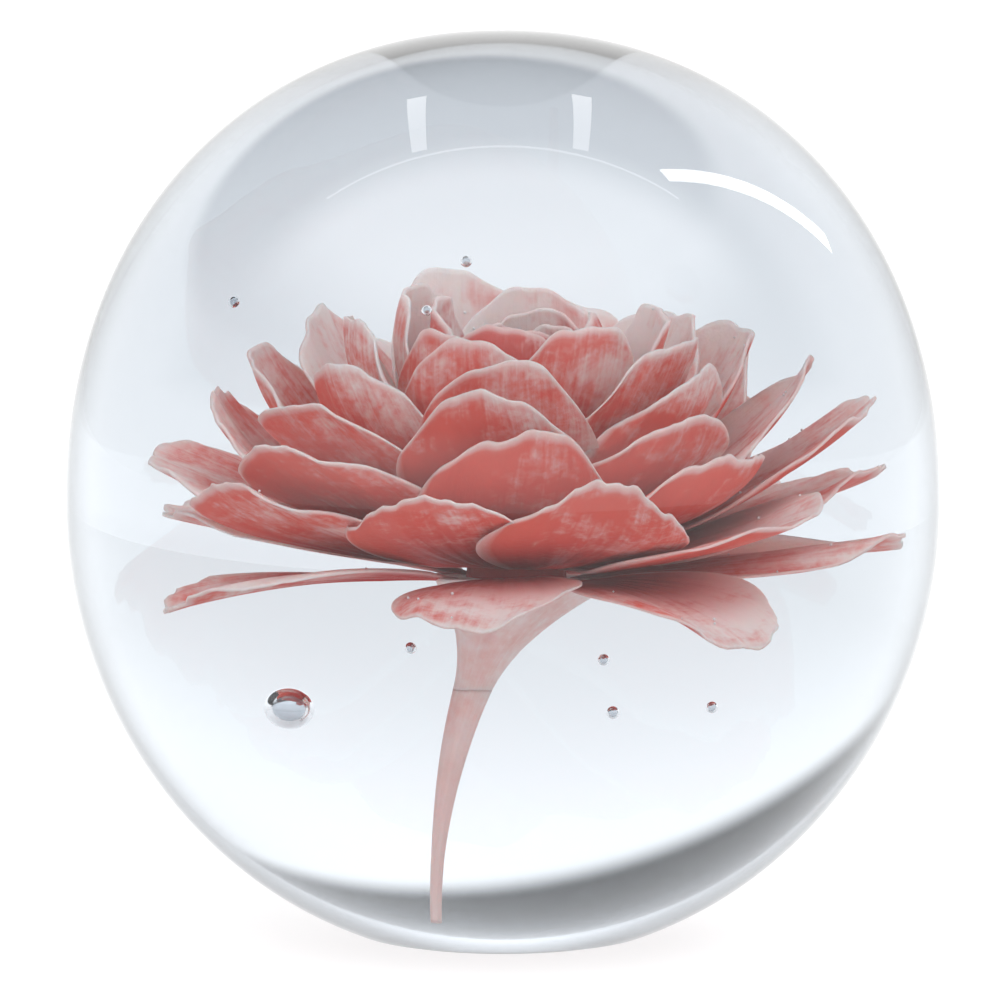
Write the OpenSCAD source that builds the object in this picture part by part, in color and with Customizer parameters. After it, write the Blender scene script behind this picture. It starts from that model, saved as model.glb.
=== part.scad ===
// Clear glass paperweight with a many-petalled flower and a few air bubbles sealed inside.
// Millimetres, +Z up, origin at the centre of the ground flat foot, front facing -Y.

/* [Glass body] */
// Widest diameter of the glass
body_diameter = 80; // [68:0.5:110]
// Height from the foot to the crown
body_height = 83; // [72:0.5:115]
// Height of the widest circle above the foot
widest_height = 40; // [36:0.5:54]
// Diameter of the ground flat foot
foot_diameter = 26; // [20:0.5:44]
// Width of the small polished bevel round the foot
foot_bevel = 0.6; // [0.2:0.1:1.5]
// Fullness of the outline above the widest circle, 2 is a true ellipse and more is squarer
crown_fullness = 2.12; // [2:0.02:2.5]
// Fullness of the outline below the widest circle
base_fullness = 2; // [2:0.02:2.4]

/* [Flower] */
// Height of the lowest petals' roots above the foot
flower_seat_height = 35; // [30:0.5:40]
// Lean of the flower head towards its right-hand side
flower_lean = 1.5; // [0:0.5:8]
// Number of petal rings from the spread outer ring to the closed bud
ring_count = 9; // [7:1:9]
// Number of drooping guard petals under the full rings
guard_petals = 6; // [5:1:6]
// Number of petals in the widest full ring
outer_petals = 8; // [6:1:8]
// Clear glass between a ring's raised sides and the roots of the ring above
ring_gap = 0.1; // [0.05:0.05:0.3]

/* [Petals] */
// Length of an outermost petal along its curve
petal_length = 20.5; // [16:0.5:22]
// Half width of a petal of the widest full ring at its broadest
petal_half_width = 8.2; // [6:0.2:9]
// Half width of a guard petal at its broadest, less than its share of the way round
guard_half_width = 6.8; // [5:0.2:7]
// Thickness of a petal in its middle
petal_thickness = 0.4; // [0.35:0.05:0.6]
// Clear glass left between the overlapping sides of two neighbours
petal_gap = 0.3; // [0.25:0.05:0.5]
// Angle above level at which the guard petals leave their roots
guard_lift = 6; // [0:1:6]
// Angle by which the front guard petal turns down along its length
guard_droop = 34; // [4:1:40]
// Height of the slow waves that run round the whole flower
flower_sway = 0.7; // [0:0.1:0.9]

/* [Stem] */
// Height of the stem's fine tip above the foot
stem_tip_height = 11.5; // [8:0.5:16]
// Sideways reach of the tip from the flower's axis
stem_sweep = 4.5; // [0:0.5:8]
// Radius of the stem at its fine tip
stem_tip_radius = 0.35; // [0.25:0.05:0.6]
// Radius of the stem where it meets the calyx
stem_neck_radius = 1.2; // [1:0.1:2]
// Radius of the calyx at its mouth under the petals
calyx_radius = 4.6; // [3.8:0.1:5.5]
// Length of the folded calyx
calyx_length = 6.5; // [5:0.5:8]

/* [Bubbles] */
// Diameter of the one large bubble
large_bubble_diameter = 3.2; // [1.5:0.1:4]
// Diameter of the fine bubbles
fine_bubble_diameter = 0.8; // [0.5:0.1:1.2]

/* [Hidden] */
// Lengthwise steps on a petal
LONG_STEPS = 6;
// Crosswise steps on a petal
WIDE_STEPS = 4;
// Steps along the stem and the calyx
STEM_STEPS = 10;
CALYX_STEPS = 6;
// Sides of the stem's round section
STEM_SIDES = 10;
// Folds round the calyx, and the sides that draw each fold
CALYX_FOLDS = 5;
SIDES_A_FOLD = 4;
// Points along each half of the glass outline
OUTLINE_STEPS = 30;

// Petals that close the bud
BUD_PETALS = 3;

// Depth of the folds as a share of the calyx's radius
fold_depth = 0.12;
// Share of the petal's length by which its corners draw back from the tip
tip_roundness = 0.3;
// Rise of the petal's upper side per unit of half width
petal_cup = 0.07;
// Share of the length over which a petal's root widens and thickens
root_share = 0.25;
// Angle above level at which the bud's petals leave their roots, the rings below open evenly to level
bud_opening = 50;
// Angle by which petals curl up along their length, from the flattest full ring to the bud
flat_curl = 14;
bud_curl = 60;
// Length and half width of the bud's petals as shares of the outermost petals'
bud_length_share = 0.48;
bud_width_share = 0.5;
// Droop of the guard petal at the back as a share of the one at the front
back_droop_share = 0.1;
// Heading of the first guard petal, and the turn from one ring to the next
first_heading = 20;
ring_turn = 47;
// Natural variation: share of a petal's length, and degrees of its heading
length_spread = 0.05;
heading_spread = 2;
// Radius at which the outermost roots stand round the receptacle, and the innermost
outer_root_radius = 3.4;
inner_root_radius = 0.7 + petal_thickness / 2;
// Clear glass between the receptacle and the roots
root_clearance = 0.3;
// Clear glass between the calyx's mouth and the lowest roots
mouth_clearance = 0.45;
// Depth of the calyx's mouth below the lowest roots
mouth_depth = petal_thickness / 2 + mouth_clearance;
// Sideways place of the flower's axis
flower_shift = 0.8;
// How sharply the stem swings over towards the flower's axis, higher is later
stem_bend_power = 2.4;

// The outline: upper and lower parts meet at the widest circle
body_radius = body_diameter / 2;
foot_radius = foot_diameter / 2;
foot_share = pow(foot_radius / body_radius, base_fullness);
lower_reach = widest_height / pow(1 - foot_share, 1 / base_fullness);
upper_reach = body_height - widest_height;
foot_angle = asin(pow((widest_height - foot_bevel / 2) / lower_reach, base_fullness / 2));

// Half of the height difference between two neighbours where they overlap
side_lift = (petal_thickness + petal_gap) / 2;
// Lift of an outermost petal's side where it is broadest, its rounded corner at three fifths of its length
broad_radius = outer_root_radius + 0.6 * petal_length;
edge_lift = side_lift * petal_half_width / broad_radius * outer_petals / PI;
// Rise of each ring's roots above the ring below it
ring_rise = petal_thickness + edge_lift + ring_gap;
// Length of the stem and calyx below the roots, measured along the leaning axis
stem_drop = (flower_seat_height - stem_tip_height + stem_sweep * sin(flower_lean)) / cos(flower_lean);
calyx_foot = -mouth_depth - calyx_length;

RING_NAMES = ["guard", "lower", "outer", "middle", "upper", "inner", "crown", "heart", "bud"];

// Rings count from 0 outside to the bud, and a shorter flower leaves out the upper middle ones
function ring_share(k) = k / (ring_count - 1);
function ring_name(k) = RING_NAMES[k < 4 ? k : k + len(RING_NAMES) - ring_count];
function petals_in(k) =
    k == 0 ? guard_petals : round(outer_petals - (outer_petals - BUD_PETALS) * pow(ring_share(k), 1.4));
function petal_name(k, i) = str(ring_name(k), "_petal_", i + 1);

// Each ring's shape runs evenly from the flat outer petals to the steep bud
function root_radius(k) =
    outer_root_radius - (outer_root_radius - inner_root_radius) * pow(ring_share(k), 1.5);
function root_height(k) = ring_rise * k;
function heading(k, i) =
    360 * i / petals_in(k) + first_heading + ring_turn * k + heading_spread * sin(97 * i + 53 * k);
function opening(k) = k == 0 ? guard_lift : bud_opening * ring_share(k);
// The guard petals droop most at the front, where their heading is towards -Y
function bend(k, i) =
    k == 0
        ? -guard_droop * (back_droop_share + (1 - back_droop_share) * pow((1 - sin(heading(k, i))) / 2, 2))
        : flat_curl + (bud_curl - flat_curl) * ring_share(k);
function length_of(k, i) =
    petal_length * (1 - (1 - bud_length_share) * pow(ring_share(k), 2))
        * (1 + length_spread * sin(137 * i + 71 * k));
function half_width_of(k) =
    k == 0 ? guard_half_width : petal_half_width * (1 - (1 - bud_width_share) * pow(ring_share(k), 1.3));

// A petal is narrow at its root and broadest at five sixths of its length
function width_share(u) = 0.1 + 0.9 * pow(sin(108 * u), 1.4);
function root_ramp(u) = min(1, u / root_share);

// Slow waves round the flower, the same for every petal so that neighbours keep their clearance
function sway(around, radius) =
    flower_sway * pow(radius / broad_radius, 2) * (sin(3 * around + 40) + 0.3 * sin(5 * around + 100));

// Point on a petal: u runs from root to tip, v from side to side, side is 1 above and -1 below.
// The middle line is an arc that starts at the ring's opening angle and turns by its bend, and
// the sides lift across the ring so that each petal passes over one neighbour and under the other.
function petal_point(k, i, u, v, side) =
    let (
        reach = u * (1 - tip_roundness * pow(abs(v), 2.8)),
        slope = opening(k) + bend(k, i) * reach,
        arc_radius = length_of(k, i) / (bend(k, i) * PI / 180),
        radius = root_radius(k) + arc_radius * (sin(slope) - sin(opening(k))),
        height = root_height(k) - arc_radius * (cos(slope) - cos(opening(k))),
        half_width = half_width_of(k) * width_share(u),
        swing = v * half_width / max(radius, inner_root_radius) * 180 / PI,
        lift = side_lift * root_ramp(u) * swing * petals_in(k) / 180,
        cup = petal_cup * pow(max(v, 0), 2) * half_width * reach,
        thickness = petal_thickness * (0.55 + 0.45 * root_ramp(u)),
        off = lift + cup + side * thickness / 2,
        out = radius - off * sin(slope),
        around = heading(k, i) + swing,
        top = height + off * cos(slope) + sway(around, out)
    )
    [out * cos(around), out * sin(around), top];

// One half of a grid square, whose diagonal runs outwards to the sheet's left or right side
function split_square(p, columns, to_left, half) =
    to_left
        ? (half == 0 ? [p, p + 1, p + columns] : [p + 1, p + columns + 1, p + columns])
        : (half == 0 ? [p, p + columns + 1, p + columns] : [p, p + 1, p + columns + 1]);

// Faces of a closed sheet whose upper and lower grids have rows x columns points each
function sheet_faces(rows, columns) =
    let (
        under = rows * columns,
        last = columns - 1,
        rim = concat(
            [for (c = [0:last]) c],
            [for (r = [1:rows - 1]) r * columns + last],
            [for (c = [last - 1:-1:0]) (rows - 1) * columns + c],
            [for (r = [rows - 2:-1:1]) r * columns]
        ),
        rim_length = len(rim)
    )
    concat(
        [for (r = [0:rows - 2]) for (c = [0:columns - 2]) for (half = [0, 1])
            split_square(r * columns + c, columns, 2 * c < last, half)],
        [for (r = [0:rows - 2]) for (c = [0:columns - 2]) for (half = [0, 1])
            let (f = split_square(under + r * columns + c, columns, 2 * c < last, half))
            [f[2], f[1], f[0]]],
        [for (n = [0:rim_length - 1]) for (half = [0, 1])
            let (p = rim[n], q = rim[(n + 1) % rim_length])
            half == 0 ? [p, under + q, q] : [p, under + p, under + q]]
    );

// Faces of a closed tube of stacked rings, each ring with the same number of sides
function tube_faces(rings, sides) = concat(
    [for (r = [0:rings - 2]) for (s = [0:sides - 1]) for (half = [0, 1])
        let (p = r * sides + s, q = r * sides + (s + 1) % sides)
        half == 0 ? [p, q + sides, q] : [p, p + sides, q + sides]],
    [[for (s = [0:sides - 1]) s]],
    [[for (s = [sides - 1:-1:0]) (rings - 1) * sides + s]]
);

// Centre of the stem or calyx at a height below the roots: it stays by the tip's side for
// most of the way and swings over to the flower's axis near the top
function stem_centre(height) =
    -stem_sweep * (1 - pow((height + stem_drop) / (stem_drop - mouth_depth), stem_bend_power));

// The stem swells slowly from its tip to the neck, the calyx opens fast towards its mouth
function stem_radius(share) = stem_tip_radius + (stem_neck_radius - stem_tip_radius) * pow(share, 2.2);
function calyx_radius_at(share) =
    stem_neck_radius + (calyx_radius - stem_neck_radius) * (0.2 * share + 0.8 * pow(share, 2));

// Half of the glass outline, from the bevel at the foot to the crown
function outline_point(angle, reach, fullness) = [
    body_radius * pow(cos(angle), 2 / fullness),
    widest_height + sign(angle) * reach * pow(abs(sin(angle)), 2 / fullness)
];
outline = concat(
    [[0, 0], [foot_radius - foot_bevel, 0]],
    [for (n = [0:OUTLINE_STEPS - 1])
        outline_point(-foot_angle * (1 - n / OUTLINE_STEPS), lower_reach, base_fullness)],
    [for (n = [0:OUTLINE_STEPS - 1]) outline_point(90 * n / OUTLINE_STEPS, upper_reach, crown_fullness)],
    [[0, body_height]]
);

// Fine bubbles as shares of the room round the flower: across, towards the back, and up
FINE_BUBBLES = [
    [-0.06, -0.10, 0.69], [-0.43, 0.00, 0.65], [-0.14, -0.42, 0.68], [-0.15, -0.15, 0.37],
    [0.16, -0.10, 0.36], [0.16, 0.10, 0.32], [0.33, -0.05, 0.32]
];
// Place of the large bubble, in the same shares
LARGE_BUBBLE = [-0.33, 0, 0.32];
function bubble_place(shares) =
    [shares[0] * body_radius, shares[1] * body_radius, shares[2] * body_height];

// Places its children on the leaning axis of the flower, with the lowest roots at height 0
module on_flower_axis() {
    translate([flower_shift, 0, flower_seat_height])
        rotate([0, flower_lean, 0])
            children();
}

// One petal of a ring, a thin sheet curved both ways
module petal(k, i) {
    rows = LONG_STEPS + 1;
    columns = WIDE_STEPS + 1;
    points = [for (side = [1, -1]) for (r = [0:LONG_STEPS]) for (c = [0:WIDE_STEPS])
        petal_point(k, i, r / LONG_STEPS, 2 * c / WIDE_STEPS - 1, side)];
    shade = 0.55 + 0.3 * ring_share(k);
    color([0.85, shade * 0.62, shade * 0.6])
        on_flower_axis()
            polyhedron(points, sheet_faces(rows, columns));
}

// The core that the petals' roots stand round
module receptacle() {
    core = concat(
        [[0, -mouth_depth]],
        [[root_radius(0) - root_clearance, -mouth_depth]],
        [for (k = [0:ring_count - 1]) [root_radius(k) - root_clearance, root_height(k)]],
        [[0, root_height(ring_count - 1) + inner_root_radius]]
    );
    color([0.72, 0.25, 0.24])
        on_flower_axis()
            rotate_extrude($fn = 48)
                polygon(core);
}

// The folded funnel under the petals
module calyx() {
    sides = CALYX_FOLDS * SIDES_A_FOLD;
    points = [for (n = [0:CALYX_STEPS]) for (s = [0:sides - 1])
        let (
            share = n / CALYX_STEPS,
            height = calyx_foot + calyx_length * share,
            turn = 360 * s / sides,
            fold = 1 + fold_depth * share * cos(CALYX_FOLDS * turn),
            radius = calyx_radius_at(share) * fold
        )
        [stem_centre(height) + radius * cos(turn), radius * sin(turn), height]];
    color([0.88, 0.6, 0.58])
        on_flower_axis()
            polyhedron(points, tube_faces(CALYX_STEPS + 1, sides));
}

// The thin stem that tapers to a fine tip
module stem() {
    stem_length = stem_drop + calyx_foot;
    points = [for (n = [0:STEM_STEPS]) for (s = [0:STEM_SIDES - 1])
        let (
            share = n / STEM_STEPS,
            height = -stem_drop + stem_length * share,
            turn = 360 * s / STEM_SIDES
        )
        [stem_centre(height) + stem_radius(share) * cos(turn), stem_radius(share) * sin(turn), height]];
    color([0.9, 0.66, 0.64])
        on_flower_axis()
            polyhedron(points, tube_faces(STEM_STEPS + 1, STEM_SIDES));
}

// Everything that is sealed in the glass
module flower() {
    receptacle();
    calyx();
    stem();
    for (k = [0:ring_count - 1]) {
        for (i = [0:petals_in(k) - 1]) {
            petal(k, i);
        }
    }
}

// Round air bubbles, one large and several fine
module bubbles() {
    translate(bubble_place(LARGE_BUBBLE))
        sphere(d = large_bubble_diameter, $fn = 32);
    for (shares = FINE_BUBBLES) {
        translate(bubble_place(shares))
            sphere(d = fine_bubble_diameter, $fn = 24);
    }
}

// The clear glass, cast solid round the flower, with a ground flat foot
module glass_body() {
    color([0.86, 0.92, 0.94, 0.35])
        difference() {
            rotate_extrude($fn = 96)
                polygon(outline);
            flower();
            bubbles();
        }
}

glass_body();
receptacle();
calyx();
stem();
for (k = [0:ring_count - 1]) {
    for (i = [0:petals_in(k) - 1]) {
        petal(k, i);
    }
}
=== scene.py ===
"""Looks of a clear glass paperweight with a coral flower sealed inside, in the CAD model's frame (metres)."""
import math

import bpy
import numpy as np
from mathutils import Matrix, Vector


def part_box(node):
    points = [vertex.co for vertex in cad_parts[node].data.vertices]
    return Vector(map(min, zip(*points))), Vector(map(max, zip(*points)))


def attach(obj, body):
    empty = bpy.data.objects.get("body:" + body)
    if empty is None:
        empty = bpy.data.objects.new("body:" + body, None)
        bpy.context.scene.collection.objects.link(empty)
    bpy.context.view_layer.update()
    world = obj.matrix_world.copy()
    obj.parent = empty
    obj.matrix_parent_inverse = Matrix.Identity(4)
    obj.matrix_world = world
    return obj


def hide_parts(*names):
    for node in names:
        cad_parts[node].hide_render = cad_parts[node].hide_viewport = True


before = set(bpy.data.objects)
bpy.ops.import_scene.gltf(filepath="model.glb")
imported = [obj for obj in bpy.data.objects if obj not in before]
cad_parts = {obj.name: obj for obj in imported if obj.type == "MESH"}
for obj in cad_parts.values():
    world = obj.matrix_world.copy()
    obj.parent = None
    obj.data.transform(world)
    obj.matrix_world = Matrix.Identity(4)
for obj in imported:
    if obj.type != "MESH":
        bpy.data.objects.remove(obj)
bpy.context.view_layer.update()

bl_info = {
    "name": "Glass Flower Paperweight",
    "version": (1, 0, 0),
    "blender": (4, 5, 0),
    "location": "View3D > Sidebar > Paperweight",
    "description": "Builds a clear glass paperweight with a many-petalled flower and bubbles inside",
    "category": "Add Mesh",
}

MM = 0.001
GLASS_LOW, GLASS_HIGH = (np.array(corner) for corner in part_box("glass_body"))
BODY_RADIUS = float(GLASS_HIGH[0] - GLASS_LOW[0]) / 2
BODY_HEIGHT = float(GLASS_HIGH[2] - GLASS_LOW[2])

# Ring names from the spread outer ring to the closed bud
RINGS = ("guard", "lower", "outer", "middle", "upper", "inner", "crown", "heart", "bud")
RING_FINISH = {
    "guard": "coral", "lower": "coral", "outer": "coral", "middle": "frosted", "upper": "frosted",
    "inner": "frosted", "crown": "frosted", "heart": "deep", "bud": "deep",
}

# How the petals stand, from the spread guard ring to the closed bud
GUARD_PETALS, OUTER_PETALS, BUD_PETALS = 6, 8, 3
FIRST_HEADING, RING_TURN, HEADING_SPREAD = 20, 47, 2          # degrees
GUARD_OPENING, BUD_OPENING = 6, 50                            # degrees above level
FLAT_CURL, BUD_CURL = 14, 60                                  # degrees along a petal
BACK_DROOP_SHARE = 0.1
OUTER_ROOT_RADIUS, INNER_ROOT_RADIUS = 3.4 * MM, 0.9 * MM
GUARD_HALF_WIDTH = 6.8 * MM
PETAL_GAP, RING_GAP = 0.3 * MM, 0.1 * MM
ROOT_WIDTH_SHARE = 0.1
BUD_LENGTH_LOSS, BUD_WIDTH_LOSS, LENGTH_SPREAD = 0.52, 0.5, 0.05
FRINGED_RINGS = 3
PETAL_ROWS, PETAL_COLUMNS = 49, 41

# The bubbles: places are shares of the glass radius (across, back) and of its height
LARGE_BUBBLE = (-0.33, 0, 0.32)
LARGE_BUBBLE_RADIUS, LARGE_BUBBLE_SQUASH = 1.6 * MM, 0.86
FINE_BUBBLES = (
    (-0.06, -0.10, 0.69), (-0.43, 0.00, 0.65), (-0.14, -0.42, 0.68), (-0.15, -0.15, 0.37),
    (0.16, -0.10, 0.36), (0.16, 0.10, 0.32), (0.33, -0.05, 0.32),
)
FINE_BUBBLE_RADIUS = 0.4 * MM

# How far the calyx's mouth widens and rises over its last stretch, to meet the roots
MOUTH_FLARE, MOUTH_RISE = 0.9 * MM, 0.8 * MM
# Gap between the calyx's mouth and the undersides of the lowest petals
MOUTH_GAP = 0.45 * MM
# Radius of the glass outline's first and last rings, as good as a point
PIN_RADIUS = 0.01 * MM

# Colours that belong to one finish only, as sRGB hex
# The first two are painted shade in the glass tint: grey at the outline and towards the crown
RIM_SHADE_GREY, CROWN_SHADE_GREY = "50585E", "B3BAC2"
# The first of these is the near-white of the micro-bubbles' painted glint
AIR_GLINT_WHITE, DEEP_CORAL, FLOOR_GREY = "F4F1F0", "D8453A", "8A8A8B"
PALE_PINK, PALE_ROOT_PINK = "F6BDB4", "FBD8D1"
# How much of each finish is frosted
CORAL_FROST, PINK_FROST, DEEP_FROST, PALE_FROST = 0.08, 0.16, 0.10, 0.22
# Where the crimson of the root, partly painted shade between the petals, ends and the body colour begins, in mm
# along the petal
CRIMSON_SHADE_END, BODY_START = 5.0, 18.0
# The margin weight sets the painted highlight along the petals' margins
GRAIN_WEIGHT, STREAK_WEIGHT, MARGIN_HIGHLIGHT_WEIGHT = 0.35, 0.5, 0.7

# Strips of light: start and end in metres from the middle of the glass, width in metres, radiance
STRIPS = (
    ("right_strip", (0.50, 0.13, 0.86), (0.70, 0.59, 0.40), 0.06, 8.0),
    ("left_bar", (-0.21, 0.50, 0.86), (-0.27, 0.10, 0.99), 0.05, 3.0),
    ("right_bar", (0.19, 0.50, 0.86), (0.25, 0.10, 0.99), 0.05, 3.0),
    ("sill", (-0.62, 0.05, 0.90), (0.62, 0.05, 0.90), 0.012, 2.0),
)
FLOOR_HALF_WIDTH, FLOOR_GLOW = 4.0, 0.78
GLASS_BOUNCES = 24


# ---------------------------------------------------------------- sizes and colours that a user may change

class PaperweightGlass(bpy.types.PropertyGroup):
    """Sizes and colour of the clear glass"""
    foot_radius: bpy.props.FloatProperty(
        name="Foot Radius", description="Radius of the ground flat foot",
        default=13 * MM, min=5 * MM, subtype="DISTANCE", unit="LENGTH")
    widest_height: bpy.props.FloatProperty(
        name="Widest Height", description="Height of the widest circle above the foot",
        default=40 * MM, min=20 * MM, subtype="DISTANCE", unit="LENGTH")
    foot_bevel: bpy.props.FloatProperty(
        name="Foot Bevel", description="Width of the polished bevel round the foot",
        default=0.6 * MM, min=0.1 * MM, subtype="DISTANCE", unit="LENGTH")
    crown_fullness: bpy.props.FloatProperty(
        name="Crown Fullness", description="Exponent of the outline above its widest circle, 2 is an ellipse",
        default=2.12, min=2, max=3)
    base_fullness: bpy.props.FloatProperty(
        name="Base Fullness", description="Exponent of the outline below its widest circle, 2 is an ellipse",
        default=2, min=2, max=3)
    colour: bpy.props.StringProperty(
        name="Glass Colour", description="sRGB hex colour of the clear glass", default="CDD3D9")
    index: bpy.props.FloatProperty(
        name="Refractive Index", description="Refractive index of soda-lime glass",
        default=1.5, min=1.3, max=1.8)


class PaperweightFlower(bpy.types.PropertyGroup):
    """Sizes and colours of the flower"""
    seat_height: bpy.props.FloatProperty(
        name="Seat Height", description="Height of the lowest petals' roots above the foot",
        default=35 * MM, subtype="DISTANCE", unit="LENGTH")
    shift: bpy.props.FloatProperty(
        name="Sideways Shift", description="Sideways place of the flower's axis",
        default=0.8 * MM, subtype="DISTANCE", unit="LENGTH")
    lean: bpy.props.FloatProperty(
        name="Lean", description="Lean of the flower towards its right-hand side",
        default=math.radians(1.5), subtype="ANGLE", unit="ROTATION")
    petal_length: bpy.props.FloatProperty(
        name="Petal Length", description="Length of an outermost petal along its curve",
        default=20.5 * MM, subtype="DISTANCE", unit="LENGTH")
    petal_half_width: bpy.props.FloatProperty(
        name="Petal Half Width", description="Half width of an outermost petal at its broadest",
        default=8.2 * MM, subtype="DISTANCE", unit="LENGTH")
    petal_thickness: bpy.props.FloatProperty(
        name="Petal Thickness", description="Thickness of a petal in its middle",
        default=0.4 * MM, subtype="DISTANCE", unit="LENGTH")
    droop: bpy.props.FloatProperty(
        name="Guard Droop", description="Angle by which the front guard petal turns down along its length",
        default=math.radians(34), subtype="ANGLE", unit="ROTATION")
    sway: bpy.props.FloatProperty(
        name="Sway", description="Height of the slow waves that run round the whole flower",
        default=0.7 * MM, subtype="DISTANCE", unit="LENGTH")
    ruffle: bpy.props.FloatProperty(
        name="Ruffle", description="Height of the waves along a petal's margin",
        default=0.75 * MM, subtype="DISTANCE", unit="LENGTH")
    coral: bpy.props.StringProperty(
        name="Coral", description="sRGB hex colour of the coral petals", default="EC6050")
    # The crimson is partly painted shade: it also stands for the shade deep between the petals
    crimson: bpy.props.StringProperty(
        name="Crimson", description="sRGB hex colour deep between the petals", default="B81614")
    # The frosted colour also paints the highlights on the upper faces and margins
    frosted: bpy.props.StringProperty(
        name="Frosted Pink", description="sRGB hex colour of the frosted petal surfaces", default="FFEAE4")


class PaperweightStem(bpy.types.PropertyGroup):
    """Sizes of the stem and the calyx"""
    tip_height: bpy.props.FloatProperty(
        name="Tip Height", description="Height of the stem's fine tip above the foot",
        default=11.5 * MM, subtype="DISTANCE", unit="LENGTH")
    sweep: bpy.props.FloatProperty(
        name="Sweep", description="Sideways reach of the tip from the flower's axis",
        default=4.5 * MM, subtype="DISTANCE", unit="LENGTH")
    tip_radius: bpy.props.FloatProperty(
        name="Tip Radius", description="Radius of the stem at its fine tip",
        default=0.35 * MM, subtype="DISTANCE", unit="LENGTH")
    neck_radius: bpy.props.FloatProperty(
        name="Neck Radius", description="Radius of the stem where it meets the calyx",
        default=1.2 * MM, subtype="DISTANCE", unit="LENGTH")
    mouth_radius: bpy.props.FloatProperty(
        name="Mouth Radius", description="Radius of the calyx under the petals",
        default=4.6 * MM, subtype="DISTANCE", unit="LENGTH")
    calyx_length: bpy.props.FloatProperty(
        name="Calyx Length", description="Length of the folded calyx",
        default=6.5 * MM, subtype="DISTANCE", unit="LENGTH")


class PaperweightStage(bpy.types.PropertyGroup):
    """The studio round the paperweight"""
    camera_distance: bpy.props.FloatProperty(
        name="Camera Distance", description="Distance of the camera from the middle of the glass",
        default=0.6, subtype="DISTANCE", unit="LENGTH")
    camera_elevation: bpy.props.FloatProperty(
        name="Camera Elevation", description="Height angle of the camera",
        default=math.radians(6), subtype="ANGLE", unit="ROTATION")
    ball_share: bpy.props.FloatProperty(
        name="Ball Share", description="Width of the glass as a share of the frame", default=0.874)


# ---------------------------------------------------------------- meshes

def make_piece(name, points, faces, uv=None):
    """A smooth mesh object from arrays of points (metres), quads, and one UV pair a point."""
    mesh = bpy.data.meshes.new(name)
    mesh.from_pydata(points.tolist(), [], faces.tolist())
    if uv is not None:
        layer = mesh.uv_layers.new(name="UVMap")
        loop_points = np.empty(len(mesh.loops), dtype=np.int32)
        mesh.loops.foreach_get("vertex_index", loop_points)
        layer.data.foreach_set("uv", uv[loop_points].astype(np.float32).ravel())
    mesh.polygons.foreach_set("use_smooth", np.ones(len(mesh.polygons), dtype=bool))
    mesh.update()
    piece = bpy.data.objects.new(name, mesh)
    bpy.context.collection.objects.link(piece)
    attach(piece, "root")
    return piece


def paint_points(piece, name, values):
    """Stores one number a point under a name that the material reads."""
    layer = piece.data.attributes.new(name, "FLOAT", "POINT")
    layer.data.foreach_set("value", np.asarray(values, dtype=np.float32))


def outward(points, faces):
    """The faces, turned round if their signed volume (sum of corner triple products) is negative."""
    corner = [points[faces[:, n]] for n in range(4)]
    volume = np.einsum("ij,ij->", np.cross(corner[0], corner[1]), corner[2])
    volume += np.einsum("ij,ij->", np.cross(corner[0], corner[2]), corner[3])
    return faces if volume > 0 else faces[:, ::-1]


def grid_faces(rows, columns, closed=False):
    """Quads between neighbouring rows and columns of a grid, which wraps round its columns if closed."""
    across = columns if closed else columns - 1
    row, column = np.meshgrid(np.arange(rows - 1), np.arange(across), indexing="ij")
    here = row * columns + column
    beside = row * columns + (column + 1) % columns
    return np.stack([here, here + columns, beside + columns, beside], axis=-1).reshape(-1, 4)


def sheet_faces(rows, columns):
    """Quads of a closed sheet: an upper grid, a lower grid turned over, and the rim between them."""
    upper = grid_faces(rows, columns)
    under = rows * columns
    index = np.arange(under).reshape(rows, columns)
    rim = np.concatenate([index[0], index[1:, -1], index[-1, -2::-1], index[-2:0:-1, 0]])
    after = np.roll(rim, -1)
    side = np.stack([rim, after, after + under, rim + under], axis=-1)
    return np.concatenate([upper, upper[:, ::-1] + under, side])


def tube_faces(rings, sides):
    """Quads along a tube whose first and last rings have shrunk to a point's width."""
    return grid_faces(rings, sides, closed=True)


def on_flower_axis(points):
    """Points on the flower's own axis, leant over sideways and lifted to the flower's seat."""
    flower = bpy.context.scene.paperweight_flower
    turn = np.array(Matrix.Rotation(flower.lean, 3, "Y"))
    return points @ turn.T + np.array([flower.shift, 0, flower.seat_height])


# ---------------------------------------------------------------- the flower's shape

def ring_share(k):
    """Place of ring k from 0 outside to 1 at the bud."""
    return k / (len(RINGS) - 1)


def petals_in(k):
    """Number of petals in ring k: six drooping guard petals, then from eight down to three in the bud."""
    if k == 0:
        return GUARD_PETALS
    return round(OUTER_PETALS - (OUTER_PETALS - BUD_PETALS) * ring_share(k) ** 1.4)


def heading_of(k, i):
    """Compass angle of a petal, counted from +X towards the back, with a little natural spread."""
    spread = HEADING_SPREAD * math.sin(math.radians(97 * i + 53 * k))
    return math.radians(360 * i / petals_in(k) + FIRST_HEADING + RING_TURN * k + spread)


def opening_of(k):
    """Angle above level at which the petals of ring k leave their roots."""
    return math.radians(GUARD_OPENING if k == 0 else BUD_OPENING * ring_share(k))


def bend_of(k, i):
    """Angle by which a petal curls up along its length, or droops on a guard petal, most at the front."""
    if k == 0:
        droop = bpy.context.scene.paperweight_flower.droop
        frontness = (1 - math.sin(heading_of(k, i))) / 2
        return -droop * (BACK_DROOP_SHARE + (1 - BACK_DROOP_SHARE) * frontness ** 2)
    return math.radians(FLAT_CURL + (BUD_CURL - FLAT_CURL) * ring_share(k))


def side_lift():
    """Half of the height difference between two neighbours where they overlap."""
    return (bpy.context.scene.paperweight_flower.petal_thickness + PETAL_GAP) / 2


def broad_radius():
    """Radius of an outermost petal's rounded corners, where it is broadest."""
    return OUTER_ROOT_RADIUS + 0.6 * bpy.context.scene.paperweight_flower.petal_length


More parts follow.
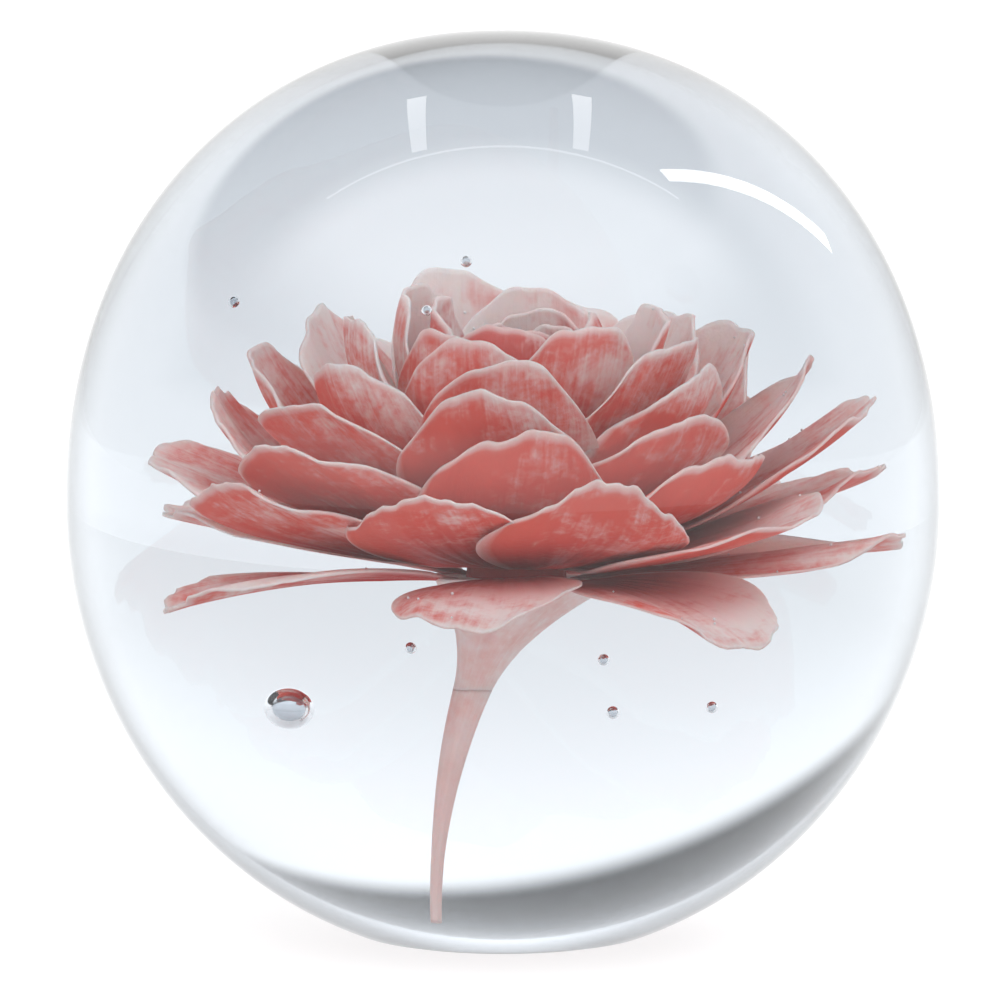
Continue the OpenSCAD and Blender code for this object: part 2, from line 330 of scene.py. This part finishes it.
def ring_rise():
    """Rise of each ring's roots above the ring below: a petal's thickness and its raised side."""
    flower = bpy.context.scene.paperweight_flower
    edge_lift = side_lift() * flower.petal_half_width / broad_radius() * petals_in(1) / math.pi
    return flower.petal_thickness + edge_lift + RING_GAP


def root_radius_of(k):
    """Radius at which the roots of ring k stand round the receptacle."""
    return OUTER_ROOT_RADIUS - (OUTER_ROOT_RADIUS - INNER_ROOT_RADIUS) * ring_share(k) ** 1.5


def petal_surface(k, i, u, v, side):
    """Points of petal i in ring k, for u from root to tip and v from side to side.

    The middle line is an arc that leaves the root at the ring's opening angle and turns by its bend.
    The half width follows 0.1 + 0.9 sin(108 degrees * u) ** 1.4, wrapped round the flower's axis. The
    sides lift across the ring, so that each petal passes over one neighbour and under the other. Waves
    along the margin, fine lengthwise ribs and a notched tip are sums of sines with random phases.
    """
    flower = bpy.context.scene.paperweight_flower
    chance = np.random.default_rng(1000 + 31 * k + i)
    phase = chance.uniform(0, 2 * math.pi, 8)
    share = ring_share(k)
    count = petals_in(k)
    opening, bend = opening_of(k), bend_of(k, i)
    # Size of this petal
    length = flower.petal_length * (1 - BUD_LENGTH_LOSS * share ** 2)
    length *= 1 + LENGTH_SPREAD * math.sin(math.radians(137 * i + 71 * k))
    broadest = flower.petal_half_width * (1 - BUD_WIDTH_LOSS * share ** 1.3) if k else GUARD_HALF_WIDTH
    widening = np.sin(np.radians(108) * u) ** 1.4
    half_width = broadest * (ROOT_WIDTH_SHARE + (1 - ROOT_WIDTH_SHARE) * widening)
    fringe = chance.uniform(0, 1) ** 2 if k < FRINGED_RINGS else 0.02
    curl = chance.uniform(-0.2, 0.42) if k else 0
    # Middle line, with a notched tip
    notch = 0.014 * np.sin(1.7 * math.pi * v + phase[0]) + 0.006 * np.sin(4.3 * math.pi * v + phase[1])
    notch = notch + 0.012 * fringe * np.sin(9 * math.pi * v + phase[5])
    reach = u * (1 - 0.3 * np.abs(v) ** 2.8 + notch * u ** 5)
    slope = opening + bend * reach
    arc_radius = length / bend
    radius = root_radius_of(k) + arc_radius * (np.sin(slope) - math.sin(opening))
    height = ring_rise() * k - arc_radius * (np.cos(slope) - math.cos(opening))
    # Width, wrapped round the flower's axis, and the lift that lets neighbours pass
    swing = v * half_width / np.maximum(radius, INNER_ROOT_RADIUS)
    swing = swing + 0.05 * np.sin(2.2 * u + phase[2]) * u ** 2 * (1 - share)
    ramp = np.minimum(1, u / 0.25)
    lift = side_lift() * ramp * v * half_width / np.maximum(radius, INNER_ROOT_RADIUS) * count / math.pi
    cup = 0.07 * np.maximum(v, 0) ** 2 * half_width * reach
    # Waves along the margin, lengthwise ribs, thinner sides and tip, and the curl of the tip
    wave = np.sin(1.5 * math.pi * v + 1.6 * u + phase[3])
    wave = wave + 0.45 * np.sin(3.7 * math.pi * v - 2.2 * u + phase[4])
    ruffle = flower.ruffle * (1 - 0.45 * share) * u ** 2.5 * (0.35 + 0.65 * v ** 2) * wave
    ribs = (0.03 + 0.05 * fringe) * MM * ramp * (
        np.sin(9 * math.pi * v + phase[5]) + 0.5 * np.sin(17 * math.pi * v + phase[6]))
    thickness = flower.petal_thickness * (0.55 + 0.45 * ramp) * (1 - 0.5 * v ** 4) * (1 - 0.45 * u ** 6)
    curl = curl * length * np.maximum(reach - 0.55, 0) ** 2
    off = lift + cup + curl + ruffle + ribs * (1 - v ** 4) + side * thickness / 2
    # Places round the axis, on the slow waves of the whole flower
    out = radius - off * np.sin(slope)
    turn = heading_of(k, i) + swing
    spread = (out / broad_radius()) ** 2
    sway = flower.sway * (np.sin(3 * turn + math.radians(40)) + 0.3 * np.sin(5 * turn + math.radians(100)))
    top = height + off * np.cos(slope) + spread * sway
    return np.stack([out * np.cos(turn), out * np.sin(turn), top], axis=-1)


def build_petal(k, i, material):
    """One petal as a closed sheet, its UV in millimetres along and across.

    The margin attribute rises to 1 at the sides and the tip, a painted highlight along the edges. The frost
    attribute is highest towards one side of the upper face, and lower on the underside: frosted glass with a
    painted highlight on the upper face.
    """
    flower = bpy.context.scene.paperweight_flower
    u, v = np.meshgrid(np.linspace(0, 1, PETAL_ROWS), np.linspace(-1, 1, PETAL_COLUMNS), indexing="ij")
    points = np.concatenate([petal_surface(k, i, u, v, side).reshape(-1, 3) for side in (1, -1)])
    points = on_flower_axis(points)
    along = u * flower.petal_length / MM
    across = v * flower.petal_half_width / MM
    uv = np.tile(np.stack([along, across], axis=-1).reshape(-1, 2), (2, 1))
    faces = outward(points, sheet_faces(PETAL_ROWS, PETAL_COLUMNS))
    node = f"{RINGS[k]}_petal_{i + 1}"
    petal = make_piece(node + "_finished", points, faces, uv)
    # Painted highlight: a pale line along the sides and tip, stronger towards the tip
    margin = np.maximum(np.clip((np.abs(v) - 0.90) / 0.08, 0, 1), np.clip((u - 0.955) / 0.035, 0, 1))
    # Painted highlight: the frost is raised on the upper face and towards one side, and lowered underneath
    upper = 0.55 * v + 0.25 * np.sin(3 * u + k)
    frost_and_highlight = np.stack([upper * 0.35 + 0.16, upper * 0.35 - 0.16])
    paint_points(petal, "margin", np.tile(margin.ravel(), 2) * (0.35 + 0.65 * np.tile(u.ravel(), 2)))
    paint_points(petal, "frost_and_highlight", frost_and_highlight.ravel())
    petal.data.materials.append(material)
    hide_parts(node)
    return petal


def stem_centre(height):
    """Sideways place of the stem or calyx at a height below the roots (see stem_drop)."""
    stem = bpy.context.scene.paperweight_stem
    share = (height + stem_drop()) / (stem_drop() - mouth_depth())
    return -stem.sweep * (1 - np.maximum(share, 0) ** 2.4)


def mouth_depth():
    """Depth of the calyx's mouth below the lowest roots."""
    return bpy.context.scene.paperweight_flower.petal_thickness / 2 + MOUTH_GAP


def stem_drop():
    """Length of the stem and calyx below the roots, measured along the leaning axis."""
    flower = bpy.context.scene.paperweight_flower
    stem = bpy.context.scene.paperweight_stem
    fall = flower.seat_height - stem.tip_height + stem.sweep * math.sin(flower.lean)
    return fall / math.cos(flower.lean)


def build_tube(name, share, turn, height, radius):
    """A tube along the stem's centre line, closed by rings that shrink to its middle at both ends."""
    centre = stem_centre(height)
    points = np.stack([centre + radius * np.cos(turn), radius * np.sin(turn), height], axis=-1)
    rings, sides = share.shape
    first, last = points[0].mean(axis=0), points[-1].mean(axis=0)
    caps = [first + (points[0] - first) * 0.001, last + (points[-1] - last) * 0.001]
    points = np.concatenate([caps[0][None], points, caps[1][None]])
    along = (height + stem_drop()) / MM
    across = turn * 2
    uv = np.stack([np.concatenate([part[:1], part, part[-1:]]) for part in (along, across)], axis=-1)
    points = on_flower_axis(points.reshape(-1, 3))
    faces = outward(points, tube_faces(rings + 2, sides))
    return make_piece(name, points, faces, uv.reshape(-1, 2))


# ---------------------------------------------------------------- the glass

def glass_outline():
    """Radius and height from the middle of the foot up to the crown.

    Each part is a superellipse (r / a) ** n + (h / b) ** n = 1 about the widest circle. The lower part's
    b is stretched so that the outline reaches the foot's radius at the foot.
    """
    glass = bpy.context.scene.paperweight_glass
    base, crown, middle = glass.base_fullness, glass.crown_fullness, glass.widest_height
    lower_reach = middle / (1 - (glass.foot_radius / BODY_RADIUS) ** base) ** (1 / base)
    start = math.asin(((middle - glass.foot_bevel / 2) / lower_reach) ** (base / 2))
    lower = np.linspace(start, 0, 90, endpoint=False)
    upper = np.linspace(0, math.pi / 2, 110)[:-1]
    radius = BODY_RADIUS * np.concatenate([np.cos(lower) ** (2 / base), np.cos(upper) ** (2 / crown)])
    height = np.concatenate([
        middle - lower_reach * np.sin(lower) ** (2 / base),
        middle + (BODY_HEIGHT - middle) * np.sin(upper) ** (2 / crown)])
    flat = np.linspace(0, glass.foot_radius - glass.foot_bevel, 12)
    flat[0] = PIN_RADIUS
    corner = 0.04 * MM
    radius = np.concatenate([flat, [flat[-1] + corner], radius, [PIN_RADIUS]])
    height = np.concatenate([np.zeros(len(flat)), [corner / 2], height, [BODY_HEIGHT]])
    return radius, height


def lathe(radius, height, sides):
    """Points of a profile turned round +Z, one ring of points for each profile point."""
    turn = np.linspace(0, 2 * math.pi, sides, endpoint=False)
    return np.stack([radius[:, None] * np.cos(turn), radius[:, None] * np.sin(turn),
                     np.repeat(height[:, None], sides, axis=1)], axis=-1).reshape(-1, 3)


def bubble(place, radius, rings, sides, squash=1.0):
    """A void in the glass: a ball whose faces point into the air inside it."""
    slant = np.linspace(0.02, math.pi - 0.02, rings)
    points = lathe(radius * np.sin(slant), -radius * squash * np.cos(slant), sides)
    faces = outward(points, grid_faces(rings, sides, closed=True))[:, ::-1]
    return points + np.array(place), faces


def bubble_place(shares):
    """A bubble's place from its shares of the glass radius (across, back) and height."""
    return (shares[0] * BODY_RADIUS, shares[1] * BODY_RADIUS, shares[2] * BODY_HEIGHT)


def micro_bubbles():
    """Micro-bubbles that cling to the petals, at random points just above the petals' upper sides."""
    chance = np.random.default_rng(7)
    shells = []
    for k in range(len(RINGS)):
        for i in range(petals_in(k)):
            tries = 4 if k < 7 else 2
            u = chance.uniform(0.45, 0.99, tries)
            v = chance.uniform(-0.95, 0.95, tries)
            skin = on_flower_axis(petal_surface(k, i, u, v, 1))
            lift = on_flower_axis(petal_surface(k, i, u, v, 2)) - skin
            size = chance.uniform(0.05, 0.12, tries) * MM
            unit = lift / np.linalg.norm(lift, axis=1, keepdims=True)
            centre = skin + unit * (size[:, None] * 1.05)
            shells += [bubble(centre[n], size[n], 5, 8) for n in range(tries)]
    return shells


# ---------------------------------------------------------------- materials

def linear(hex_colour, alpha=1.0):
    """Linear RGBA of an sRGB hex colour."""
    channel = np.array([int(hex_colour[n:n + 2], 16) / 255 for n in (0, 2, 4)])
    low, high = channel / 12.92, ((channel + 0.055) / 1.055) ** 2.4
    return (*np.where(channel <= 0.04045, low, high).tolist(), alpha)


def add_node(tree, kind, links=None, **settings):
    """Adds a node, sets its inputs or attributes by name, and links its inputs to other sockets."""
    node = tree.nodes.new(kind)
    for name, value in settings.items():
        socket = name.replace("_", " ")
        if socket in node.inputs:
            node.inputs[socket].default_value = value
        else:
            setattr(node, name, value)
    for name, source in (links or {}).items():
        tree.links.new(source, node.inputs[name])
    return node


def new_material(name):
    """An empty node material with its Principled shader, and the shader's tree."""
    material = bpy.data.materials.new(name)
    material.use_nodes = True
    tree = material.node_tree
    return material, tree, tree.nodes["Principled BSDF"]


def cast_clear_glass():
    """Clear soda-lime glass, cast solid and fire polished: sharp see-through with a faint cool tint.

    It darkens where it is seen at a slant, which draws the outline, and a little towards the crown. Both are
    painted shade, standing in for the shaded floor seen through the glass.
    """
    glass = bpy.context.scene.paperweight_glass
    material, tree, shader = new_material("cast_clear_glass")
    # Painted shade: a grey tint where the glass is seen at a slant draws a dark outline
    grazing = add_node(tree, "ShaderNodeLayerWeight", Blend=0.5)
    rim = add_node(tree, "ShaderNodeMapRange", {"Value": grazing.outputs["Facing"]},
                   interpolation_type="SMOOTHSTEP")
    rim.inputs["From Min"].default_value = 0.64
    rim.inputs["From Max"].default_value = 0.9
    place = add_node(tree, "ShaderNodeTexCoord")
    split = add_node(tree, "ShaderNodeSeparateXYZ", {"Vector": place.outputs["Object"]})
    # Painted shade: the tint turns greyer towards the crown
    upper = add_node(tree, "ShaderNodeMapRange", {"Value": split.outputs["Z"]},
                     interpolation_type="SMOOTHSTEP")
    upper.inputs["From Min"].default_value = 0.5 * BODY_HEIGHT
    upper.inputs["From Max"].default_value = 0.95 * BODY_HEIGHT
    body = add_node(tree, "ShaderNodeMix", {"Factor": upper.outputs[0]}, data_type="RGBA")
    body.inputs[6].default_value = linear(glass.colour)
    body.inputs[7].default_value = linear(CROWN_SHADE_GREY)
    tint = add_node(tree, "ShaderNodeMix", {"Factor": rim.outputs[0], 6: body.outputs[2]},
                    data_type="RGBA")
    tint.inputs[7].default_value = linear(RIM_SHADE_GREY)
    tree.links.new(tint.outputs[2], shader.inputs["Base Color"])
    shader.inputs["Roughness"].default_value = 0.0
    shader.inputs["IOR"].default_value = glass.index
    shader.inputs["Transmission Weight"].default_value = 1.0
    return material


def trapped_air():
    """Air trapped on a petal while the glass was poured: a painted glint, opaque near-white beads that stand in
    for the light the air mirrors.
    """
    material, _, shader = new_material("painted_air_glint")
    shader.inputs["Base Color"].default_value = linear(AIR_GLINT_WHITE)
    shader.inputs["Roughness"].default_value = 0.25
    return material


def petal_glass(name, body, deep, frost_and_highlight, frost_amount):
    """Opaque coloured glass, pressed thin: coral body, crimson near the root (partly painted shade), pale
    frosted mottling with painted highlights.

    The mottling is a noise with 3.2 mm patches, broken by 0.55 mm grain and by streaks 0.7 mm apart. The
    streaks run along the petal, so they read the petal's own UV in millimetres.
    """
    material, tree, shader = new_material(name)
    place = add_node(tree, "ShaderNodeTexCoord")
    split = add_node(tree, "ShaderNodeSeparateXYZ", {"Vector": place.outputs["UV"]})
    patches = add_node(tree, "ShaderNodeTexNoise", {"Vector": place.outputs["Object"]},
                       Scale=1 / (3.2 * MM), Detail=5.0, Roughness=0.55, Distortion=0.4)
    grain = add_node(tree, "ShaderNodeTexNoise", {"Vector": place.outputs["Object"]},
                     Scale=1 / (0.55 * MM), Detail=3.0, Roughness=0.6)
    stretch = add_node(tree, "ShaderNodeMapping", {"Vector": place.outputs["UV"]}, Scale=(0.09, 1.5, 1.0))
    streaks = add_node(tree, "ShaderNodeTexNoise", {"Vector": stretch.outputs["Vector"]},
                       Scale=1.0, Detail=4.0, Roughness=0.65)
    # Crimson towards the root: the glass's own deeper colour there, with painted shade between the petals added
    tip_ramp = add_node(tree, "ShaderNodeMapRange", {"Value": split.outputs["X"]},
                        interpolation_type="SMOOTHSTEP")
    tip_ramp.inputs["From Min"].default_value = CRIMSON_SHADE_END
    tip_ramp.inputs["From Max"].default_value = BODY_START
    mottling = add_node(tree, "ShaderNodeMath", {0: grain.outputs["Fac"], 2: patches.outputs["Fac"]},
                        operation="MULTIPLY_ADD")
    mottling.inputs[1].default_value = GRAIN_WEIGHT
    mottling = add_node(tree, "ShaderNodeMath", {0: streaks.outputs["Fac"], 2: mottling.outputs[0]},
                        operation="MULTIPLY_ADD")
    mottling.inputs[1].default_value = STREAK_WEIGHT
    # The frost attribute adds a painted highlight on the upper faces to the frosted mottling
    bias = add_node(tree, "ShaderNodeAttribute", attribute_name="frost_and_highlight")
    mottling = add_node(tree, "ShaderNodeMath", {0: mottling.outputs[0], 1: bias.outputs["Fac"]},
                        operation="ADD")
    frosting = add_node(tree, "ShaderNodeMapRange", {"Value": mottling.outputs[0]},
                        interpolation_type="SMOOTHSTEP")
    frosting.inputs["From Min"].default_value = 0.76 - frost_amount
    frosting.inputs["From Max"].default_value = 1.36 - frost_amount
    frosting = add_node(tree, "ShaderNodeMath", {0: frosting.outputs[0], 1: tip_ramp.outputs[0]},
                        operation="MULTIPLY")
    under = add_node(tree, "ShaderNodeMix", {"Factor": tip_ramp.outputs[0]}, data_type="RGBA")
    under.inputs[6].default_value = linear(deep)
    under.inputs[7].default_value = linear(body)
    colour = add_node(tree, "ShaderNodeMix", {"Factor": frosting.outputs[0], 6: under.outputs[2]},
                      data_type="RGBA")
    colour.inputs[7].default_value = linear(frost_and_highlight)
    # Painted highlight: a pale line along the margins and the tip
    margin = add_node(tree, "ShaderNodeAttribute", attribute_name="margin")
    edge_highlight = add_node(tree, "ShaderNodeMath", {0: margin.outputs["Fac"]}, operation="MULTIPLY")
    edge_highlight.inputs[1].default_value = MARGIN_HIGHLIGHT_WEIGHT
    colour = add_node(tree, "ShaderNodeMix", {"Factor": edge_highlight.outputs[0], 6: colour.outputs[2]},
                      data_type="RGBA")
    colour.inputs[7].default_value = linear(frost_and_highlight)
    tree.links.new(colour.outputs[2], shader.inputs["Base Color"])
    roughness = add_node(tree, "ShaderNodeMapRange", {"Value": frosting.outputs[0]})
    roughness.inputs["To Min"].default_value = 0.35
    roughness.inputs["To Max"].default_value = 0.65
    tree.links.new(roughness.outputs[0], shader.inputs["Roughness"])
    relief = add_node(tree, "ShaderNodeMath", {0: streaks.outputs["Fac"], 1: grain.outputs["Fac"]},
                      operation="ADD")
    bump = add_node(tree, "ShaderNodeBump", {"Height": relief.outputs[0]},
                    Strength=0.55, Distance=0.12 * MM)
    tree.links.new(bump.outputs["Normal"], shader.inputs["Normal"])
    shader.inputs["IOR"].default_value = 1.08
    shader.inputs["Subsurface Weight"].default_value = 0.35
    shader.inputs["Subsurface Radius"].default_value = (1.0, 0.25, 0.2)
    shader.inputs["Subsurface Scale"].default_value = 1.2 * MM
    return material


def petal_finishes():
    """The four finishes of the coloured glass, made once."""
    flower = bpy.context.scene.paperweight_flower
    wanted = {
        "coral": ("pressed_coral_glass", flower.coral, flower.crimson, flower.frosted, CORAL_FROST),
        "frosted": (
            "pressed_frosted_pink_glass", flower.coral, flower.crimson, flower.frosted, PINK_FROST),
        "deep": ("pressed_deep_coral_glass", DEEP_CORAL, flower.crimson, flower.frosted, DEEP_FROST),
        "pale": ("drawn_pale_pink_glass", PALE_PINK, PALE_ROOT_PINK, flower.frosted, PALE_FROST),
    }
    return {key: bpy.data.materials.get(value[0]) or petal_glass(*value) for key, value in wanted.items()}


# ---------------------------------------------------------------- operators

class BuildGlass(bpy.types.Operator):
    """Build the clear glass with its bubbles"""
    bl_idname = "paperweight.build_glass"
    bl_label = "Clear Glass"

    def execute(self, context):
        radius, height = glass_outline()
        sides = 192
        points = lathe(radius, height, sides)
        shells = [(points, outward(points, grid_faces(len(radius), sides, closed=True)))]
        shells.append(bubble(bubble_place(LARGE_BUBBLE), LARGE_BUBBLE_RADIUS, 25, 32, LARGE_BUBBLE_SQUASH))
        shells += [bubble(bubble_place(shares), FINE_BUBBLE_RADIUS, 9, 14) for shares in FINE_BUBBLES]
        clear_shells = len(shells)
        shells += micro_bubbles()
        offsets = np.cumsum([0] + [len(shell[0]) for shell in shells[:-1]])
        faces = np.concatenate([shell[1] + start for shell, start in zip(shells, offsets)])
        piece = make_piece("clear_glass_ball", np.concatenate([shell[0] for shell in shells]), faces)
        piece.data.materials.append(cast_clear_glass())
        piece.data.materials.append(trapped_air())
        clear_faces = sum(len(shell[1]) for shell in shells[:clear_shells])
        finish = (np.arange(len(faces)) >= clear_faces).astype(np.int32)
        piece.data.polygons.foreach_set("material_index", finish)
        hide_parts("glass_body")
        return {"FINISHED"}


class BuildPetals(bpy.types.Operator):
    """Build every petal from the guard ring to the bud"""
    bl_idname = "paperweight.build_petals"
    bl_label = "Petals"

    def execute(self, context):
        finishes = petal_finishes()
        for k, ring in enumerate(RINGS):
            for i in range(petals_in(k)):
                build_petal(k, i, finishes[RING_FINISH[ring]])
        return {"FINISHED"}


class BuildCalyx(bpy.types.Operator):
    """Build the folded calyx under the petals"""
    bl_idname = "paperweight.build_calyx"
    bl_label = "Calyx"

    def execute(self, context):
        stem = context.scene.paperweight_stem
        share, turn = np.meshgrid(np.linspace(0, 1, 40), np.linspace(0, 2 * math.pi, 120, endpoint=False),
                                  indexing="ij")
        height = -mouth_depth() - stem.calyx_length * (1 - share) + MOUTH_RISE * share ** 6
        widening = 0.2 * share + 0.8 * share ** 2
        radius = stem.neck_radius + (stem.mouth_radius - stem.neck_radius) * widening + MOUTH_FLARE * share ** 6
        fold = 1 + 0.12 * share * np.cos(5 * turn) + 0.03 * share * np.cos(17 * turn + 3 * share)
        piece = build_tube("calyx_finished", share, turn, height, radius * fold)
        piece.data.materials.append(petal_finishes()["pale"])
        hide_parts("calyx")
        return {"FINISHED"}


class BuildStem(bpy.types.Operator):
    """Build the thin tapering stem"""
    bl_idname = "paperweight.build_stem"
    bl_label = "Stem"

    def execute(self, context):
        stem = context.scene.paperweight_stem
        share, turn = np.meshgrid(np.linspace(0, 1, 80), np.linspace(0, 2 * math.pi, 40, endpoint=False),
                                  indexing="ij")
        height = -stem_drop() + (stem_drop() - mouth_depth() - stem.calyx_length) * share
        radius = stem.tip_radius + (stem.neck_radius - stem.tip_radius) * share ** 2.2
        twist = 0.08 * np.cos(5 * turn + 2.5 * share) + 0.04 * np.cos(9 * turn - 6 * share)
        groove = 1 + (1 - share ** 4) * twist
        piece = build_tube("stem_finished", share, turn, height, radius * groove)
        piece.data.materials.append(petal_finishes()["pale"])
        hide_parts("stem")
        return {"FINISHED"}


class FinishReceptacle(bpy.types.Operator):
    """Give the receptacle its deep coral glass"""
    bl_idname = "paperweight.finish_receptacle"
    bl_label = "Receptacle"

    def execute(self, context):
        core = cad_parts["receptacle"]
        core.data.materials.clear()
        core.data.materials.append(petal_finishes()["deep"])
        return {"FINISHED"}


def strip_light(name, start, end, width, radiance):
    """A soft strip of light from start to end that faces the glass; its power is pi * area * radiance."""
    start, end = Vector(start), Vector(end)
    target = Vector((0, 0, bpy.context.scene.paperweight_glass.widest_height))
    middle = (start + end) / 2 + target
    length = (end - start).length
    light = bpy.data.lights.new(name, "AREA")
    light.shape = "RECTANGLE"
    light.size, light.size_y = length, width
    light.energy = math.pi * length * width * radiance
    lamp = bpy.data.objects.new(name, light)
    facing = (middle - target).normalized()
    along = (end - start).normalized()
    across = facing.cross(along).normalized()
    along = across.cross(facing)
    turn = Matrix((along, across, facing)).transposed().to_4x4()
    lamp.matrix_world = Matrix.Translation(middle) @ turn
    lamp.visible_transmission = False
    bpy.context.collection.objects.link(lamp)
    return lamp


def studio_world():
    """A bright backdrop behind that ends about 38 degrees up, and a wide softbox above the front.

    The sides are dim, except for a bright band just above level all round, and a weaker fill light comes
    from the front.
    """
    world = bpy.data.worlds.new("studio")
    bpy.context.scene.world = world
    world.use_nodes = True
    tree = world.node_tree
    place = add_node(tree, "ShaderNodeTexCoord")
    split = add_node(tree, "ShaderNodeSeparateXYZ", {"Vector": place.outputs["Generated"]})

    def zone(source, start, end, before, after):
        """Brightness that runs smoothly from before to after while the source runs from start to end."""
        ramp = add_node(tree, "ShaderNodeMapRange", {"Value": source}, interpolation_type="SMOOTHSTEP")
        for name, value in (("From Min", start), ("From Max", end), ("To Min", before), ("To Max", after)):
            ramp.inputs[name].default_value = value
        return ramp.outputs[0]

    # The backdrop: its upper end is higher on the right, and it is brightest behind the glass
    tilt = add_node(tree, "ShaderNodeMath", {0: split.outputs["X"], 2: split.outputs["Z"]},
                    operation="MULTIPLY_ADD")
    tilt.inputs[1].default_value = -0.22
    height = zone(tilt.outputs[0], 0.56, 0.66, 1.0, 0.03)
    rise = zone(split.outputs["Z"], -0.05, 0.5, 0.74, 1.0)
    behind = zone(split.outputs["Y"], 0.0, 0.4, 0.5, 1.6)
    # The bright band just above level, all round
    low = zone(split.outputs["Z"], 0.16, 0.34, 1.6, 0.0)
    around = add_node(tree, "ShaderNodeMath", {0: behind, 1: low}, operation="MAXIMUM")
    backdrop = add_node(tree, "ShaderNodeMath", {0: height, 1: around.outputs[0]},
                        operation="MULTIPLY")
    backdrop = add_node(tree, "ShaderNodeMath", {0: backdrop.outputs[0], 1: rise}, operation="MULTIPLY")
    # The softbox above the front, and the fill light from the front
    ceiling = zone(split.outputs["Z"], 0.45, 0.85, 0.0, 3.6)
    front = zone(split.outputs["Y"], -0.15, 0.2, 1.0, 0.0)
    softbox = add_node(tree, "ShaderNodeMath", {0: ceiling, 1: front}, operation="MULTIPLY")
    fill = zone(split.outputs["Y"], -0.7, -0.1, 0.85, 0.0)
    total = add_node(tree, "ShaderNodeMath", {0: backdrop.outputs[0], 1: softbox.outputs[0]},
                     operation="ADD")
    total = add_node(tree, "ShaderNodeMath", {0: total.outputs[0], 1: fill}, operation="ADD")
    background = tree.nodes["Background"]
    tree.links.new(total.outputs[0], background.inputs["Strength"])
    background.inputs["Color"].default_value = (1, 1, 1, 1)


class BuildStage(bpy.types.Operator):
    """Build the pale floor, the studio light and the camera"""
    bl_idname = "paperweight.build_stage"
    bl_label = "Stage"

    def execute(self, context):
        stage = context.scene.paperweight_stage
        studio_world()
        for strip in STRIPS:
            strip_light(*strip)
        corners = FLOOR_HALF_WIDTH * np.array([[-1, -1, 0], [1, -1, 0], [1, 1, 0], [-1, 1, 0]])
        mesh = bpy.data.meshes.new("pale_floor")
        mesh.from_pydata((corners - [0, 0, 0.05 * MM]).tolist(), [], [(0, 1, 2, 3)])
        floor = bpy.data.objects.new("pale_floor", mesh)
        context.collection.objects.link(floor)
        material, _, shader = new_material("matt_white_board")
        shader.inputs["Base Color"].default_value = linear(FLOOR_GREY)
        shader.inputs["Emission Color"].default_value = (1, 1, 1, 1)
        shader.inputs["Emission Strength"].default_value = FLOOR_GLOW
        shader.inputs["Roughness"].default_value = 0.9
        mesh.materials.append(material)
        target = Vector((0, 0, bpy.context.scene.paperweight_glass.widest_height))
        rise = stage.camera_elevation
        camera = bpy.data.cameras.new("camera")
        view = bpy.data.objects.new("camera", camera)
        context.collection.objects.link(view)
        view.location = target + stage.camera_distance * Vector((0, -math.cos(rise), math.sin(rise)))
        view.rotation_euler = (target - view.location).to_track_quat("-Z", "Y").to_euler()
        camera.sensor_width = 36
        spread = BODY_RADIUS / math.sqrt(stage.camera_distance ** 2 - BODY_RADIUS ** 2)
        camera.lens = camera.sensor_width * stage.ball_share / 2 / spread
        camera.shift_x = -0.003
        camera.clip_start = 0.01
        context.scene.camera = view
        context.scene.view_settings.view_transform = "Standard"
        context.scene.cycles.max_bounces = GLASS_BOUNCES
        context.scene.cycles.transmission_bounces = GLASS_BOUNCES
        return {"FINISHED"}


class PaperweightPanel(bpy.types.Panel):
    """Sidebar panel that lists the pieces"""
    bl_idname = "VIEW3D_PT_paperweight"
    bl_label = "Paperweight"
    bl_space_type = "VIEW_3D"
    bl_region_type = "UI"
    bl_category = "Paperweight"

    def draw(self, context):
        for operator in OPERATORS:
            self.layout.operator(operator.bl_idname)
        for settings, _ in SETTINGS:
            group = getattr(context.scene, settings)
            for name in type(group).__annotations__:
                self.layout.prop(group, name)


SETTINGS = (
    ("paperweight_glass", PaperweightGlass),
    ("paperweight_flower", PaperweightFlower),
    ("paperweight_stem", PaperweightStem),
    ("paperweight_stage", PaperweightStage),
)
OPERATORS = (BuildStage, BuildGlass, BuildPetals, BuildCalyx, BuildStem, FinishReceptacle)


def register():
    """Registers the settings, the operators and the panel."""
    for name, group in SETTINGS:
        bpy.utils.register_class(group)
        setattr(bpy.types.Scene, name, bpy.props.PointerProperty(type=group))
    for operator in OPERATORS:
        bpy.utils.register_class(operator)
    bpy.utils.register_class(PaperweightPanel)


def unregister():
    """Takes the panel, the operators and the settings away again."""
    bpy.utils.unregister_class(PaperweightPanel)
    for operator in reversed(OPERATORS):
        bpy.utils.unregister_class(operator)
    for name, group in reversed(SETTINGS):
        delattr(bpy.types.Scene, name)
        bpy.utils.unregister_class(group)


def main():
    register()
    for operator in OPERATORS:
        group, name = operator.bl_idname.split(".")
        getattr(getattr(bpy.ops, group), name)()


if __name__ == "__main__":
    main()
